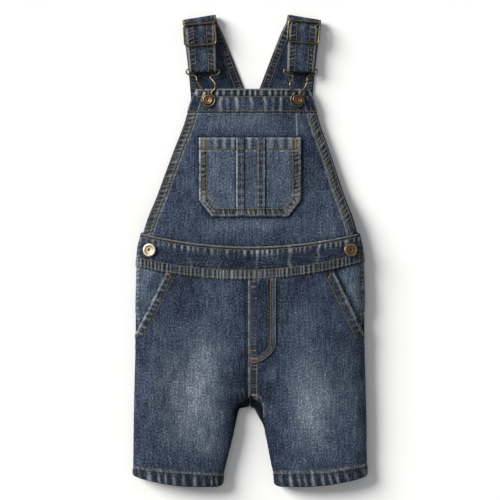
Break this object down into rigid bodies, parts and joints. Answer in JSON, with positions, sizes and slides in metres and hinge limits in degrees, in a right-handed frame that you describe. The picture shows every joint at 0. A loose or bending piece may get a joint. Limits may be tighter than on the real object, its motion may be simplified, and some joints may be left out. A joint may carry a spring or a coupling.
{
  "type": "denim shortalls",
  "caption": "Child's short denim dungarees laid flat on their back, straps folded to the front and fastened with wire buckles and hooks.",
  "frame": {"origin": "middle of the box's underside, on the surface that the garment lies on", "axes": "+Z out of the garment's front, +Y towards the shoulder straps, +X to the right of someone looking down at the front"},
  "size_m": [0.2708, 0.543, 0.0272],
  "materials": {
    "denim": "matt washed indigo twill",
    "denim_facing": "matt paler indigo twill",
    "brass": "aged, satin"
  },
  "bodies": {
    "root": {"front_leg_left": "denim", "front_leg_right": "denim", "back_leg_left": "denim", "back_leg_right": "denim", "hip_facing_left": "denim_facing", "hip_facing_right": "denim_facing", "fly": "denim", "waistband_front": "denim", "waistband_back": "denim", "bib": "denim", "bib_top_band": "denim", "bib_pocket": "denim", "back_bib": "denim", "strap_left": "denim", "strap_right": "denim", "buckle_left": "brass", "buckle_right": "brass", "hook_left": "brass", "hook_right": "brass", "bib_button_left": "brass", "bib_button_right": "brass", "waist_button_left": "brass", "waist_button_right": "brass", "pocket_strip_left": "denim", "pocket_strip_right": "denim"}
  },
  "joints": []
}
